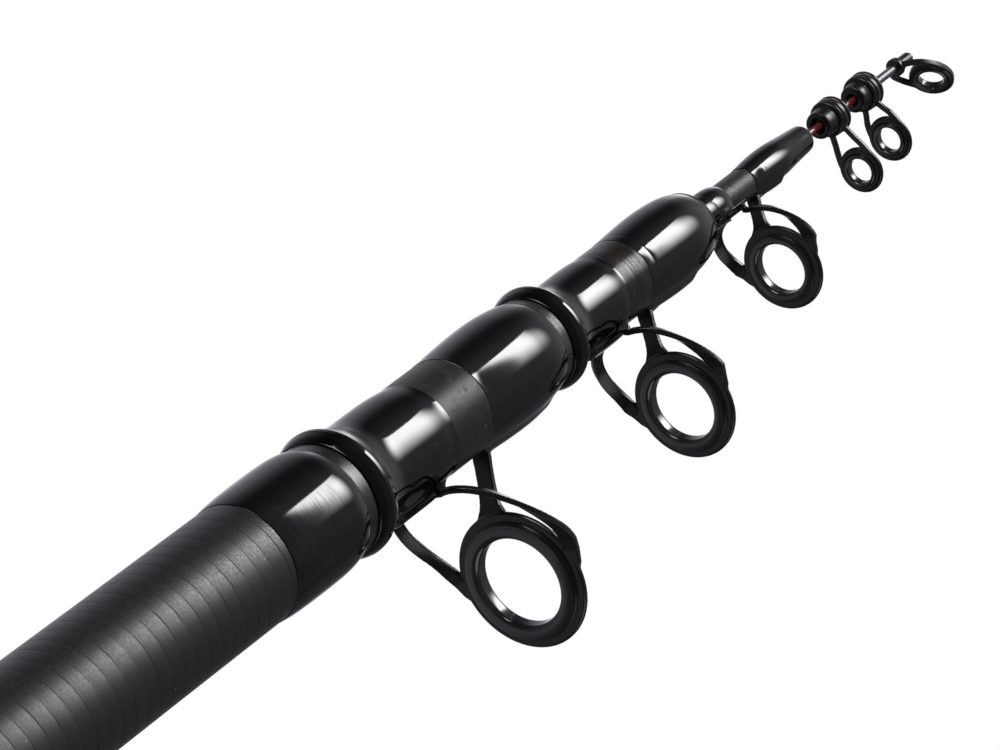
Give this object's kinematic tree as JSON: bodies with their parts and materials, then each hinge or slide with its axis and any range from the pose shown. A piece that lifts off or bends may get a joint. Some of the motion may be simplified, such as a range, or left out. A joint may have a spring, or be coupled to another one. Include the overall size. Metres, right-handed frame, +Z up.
{
  "type": "telescopic fishing rod",
  "caption": "Closed telescopic fishing rod with nested carbon sections, legged line guides, sliding tip guides, a tip-top, a screw reel seat and foam grips.",
  "frame": {"origin": "on the rod axis at the rear end of the rear grip", "axes": "+X along the rod from butt to tip, -Z towards the guides and the reel, +Z up"},
  "size_m": [0.7732, 0.0315, 0.056],
  "materials": {
    "foam_grip": "matt",
    "carbon_tube": "satin",
    "tip_glass_fibre": "gloss lacquer",
    "whipping_lacquer": "gloss",
    "black_gloss_plastic": "gloss",
    "coated_steel": "semi-gloss black",
    "ceramic_ring": "polished",
    "bare_steel": "satin",
    "soft_rubber": "matt",
    "seat_plastic": "satin",
    "anodised_aluminium": "satin dark anodised"
  },
  "bodies": {
    "butt_section": {"butt_blank": "carbon_tube", "butt_bell": "whipping_lacquer", "rear_grip": "foam_grip", "butt_ferrule": "anodised_aluminium", "rear_trim_ring": "anodised_aluminium", "reel_seat": "seat_plastic", "fixed_hood": "anodised_aluminium", "fixed_hood_pad": "soft_rubber", "front_trim_ring": "anodised_aluminium", "fore_grip": "foam_grip", "winding_check": "anodised_aluminium"},
    "seal_ring": {"plug_seal": "soft_rubber"},
    "screw_plug": {"butt_plug": "anodised_aluminium", "plug_cushion": "soft_rubber"},
    "sliding_hood": {"moving_hood": "anodised_aluminium", "moving_hood_pad": "soft_rubber"},
    "hood_nut": {"lock_nut": "anodised_aluminium"},
    "section_2": {"section_2_blank": "carbon_tube", "section_2_collar": "black_gloss_plastic", "section_2_whipping": "whipping_lacquer", "section_2_bell": "whipping_lacquer", "guide_1_frame": "coated_steel", "guide_1_ring": "ceramic_ring"},
    "section_3": {"section_3_blank": "carbon_tube", "section_3_collar": "black_gloss_plastic", "section_3_whipping": "whipping_lacquer", "section_3_bell": "whipping_lacquer", "guide_2_frame": "coated_steel", "guide_2_ring": "ceramic_ring"},
    "section_4": {"section_4_blank": "carbon_tube", "section_4_collar": "black_gloss_plastic", "section_4_whipping": "whipping_lacquer", "section_4_bell": "whipping_lacquer", "guide_3_frame": "coated_steel", "guide_3_ring": "ceramic_ring"},
    "tip_section": {"tip_blank": "tip_glass_fibre", "tip_top_tube": "bare_steel", "tip_top_frame": "coated_steel", "tip_top_ring": "ceramic_ring"},
    "sliding_guide_4": {"slider_4_sleeve": "black_gloss_plastic", "slider_4_retainer": "black_gloss_plastic", "slider_4_frame": "coated_steel", "slider_4_ring": "ceramic_ring"},
    "sliding_guide_5": {"slider_5_sleeve": "black_gloss_plastic", "slider_5_retainer": "black_gloss_plastic", "slider_5_frame": "coated_steel", "slider_5_ring": "ceramic_ring"}
  },
  "joints": [
    {"name": "section_2_slide", "type": "slide", "parent": "butt_section", "child": "section_2", "axis": [1, 0, 0], "range_m": [0, 0.485]},
    {"name": "section_3_slide", "type": "slide", "parent": "section_2", "child": "section_3", "axis": [1, 0, 0], "range_m": [0, 0.5417]},
    {"name": "section_4_slide", "type": "slide", "parent": "section_3", "child": "section_4", "axis": [1, 0, 0], "range_m": [0, 0.5927]},
    {"name": "tip_slide", "type": "slide", "parent": "section_4", "child": "tip_section", "axis": [1, 0, 0], "range_m": [0, 0.655]},
    {"name": "guide_4_slide", "type": "slide", "parent": "tip_section", "child": "sliding_guide_4", "axis": [1, 0, 0], "range_m": [-0.4101, 0]},
    {"name": "guide_5_slide", "type": "slide", "parent": "tip_section", "child": "sliding_guide_5", "axis": [1, 0, 0], "range_m": [-0.2051, 0]},
    {"name": "hood_slide", "type": "slide", "parent": "butt_section", "child": "sliding_hood", "axis": [-1, 0, 0], "range_m": [0, 0.02801]},
    {"name": "nut_turn", "type": "hinge", "parent": "sliding_hood", "child": "hood_nut", "pos_m": [0.293, 0, 0], "axis": [-1, 0, 0], "range_deg": [0, 5040]},
    {"name": "plug_out", "type": "slide", "parent": "butt_section", "child": "seal_ring", "axis": [-1, 0, 0], "range_m": [0, 0.01201]},
    {"name": "plug_turn", "type": "hinge", "parent": "seal_ring", "child": "screw_plug", "pos_m": [0, 0, 0], "axis": [-1, 0, 0], "range_deg": [0, 1728]}
  ],
  "couplings": [
    {"joint": "guide_4_slide", "follows": "tip_slide", "ratio": -0.62595},
    {"joint": "guide_5_slide", "follows": "tip_slide", "ratio": -0.31298},
    {"joint": "hood_slide", "follows": "nut_turn", "m_per_rad": 0.00031831},
    {"joint": "plug_out", "follows": "plug_turn", "m_per_rad": 0.00039789}
  ]
}
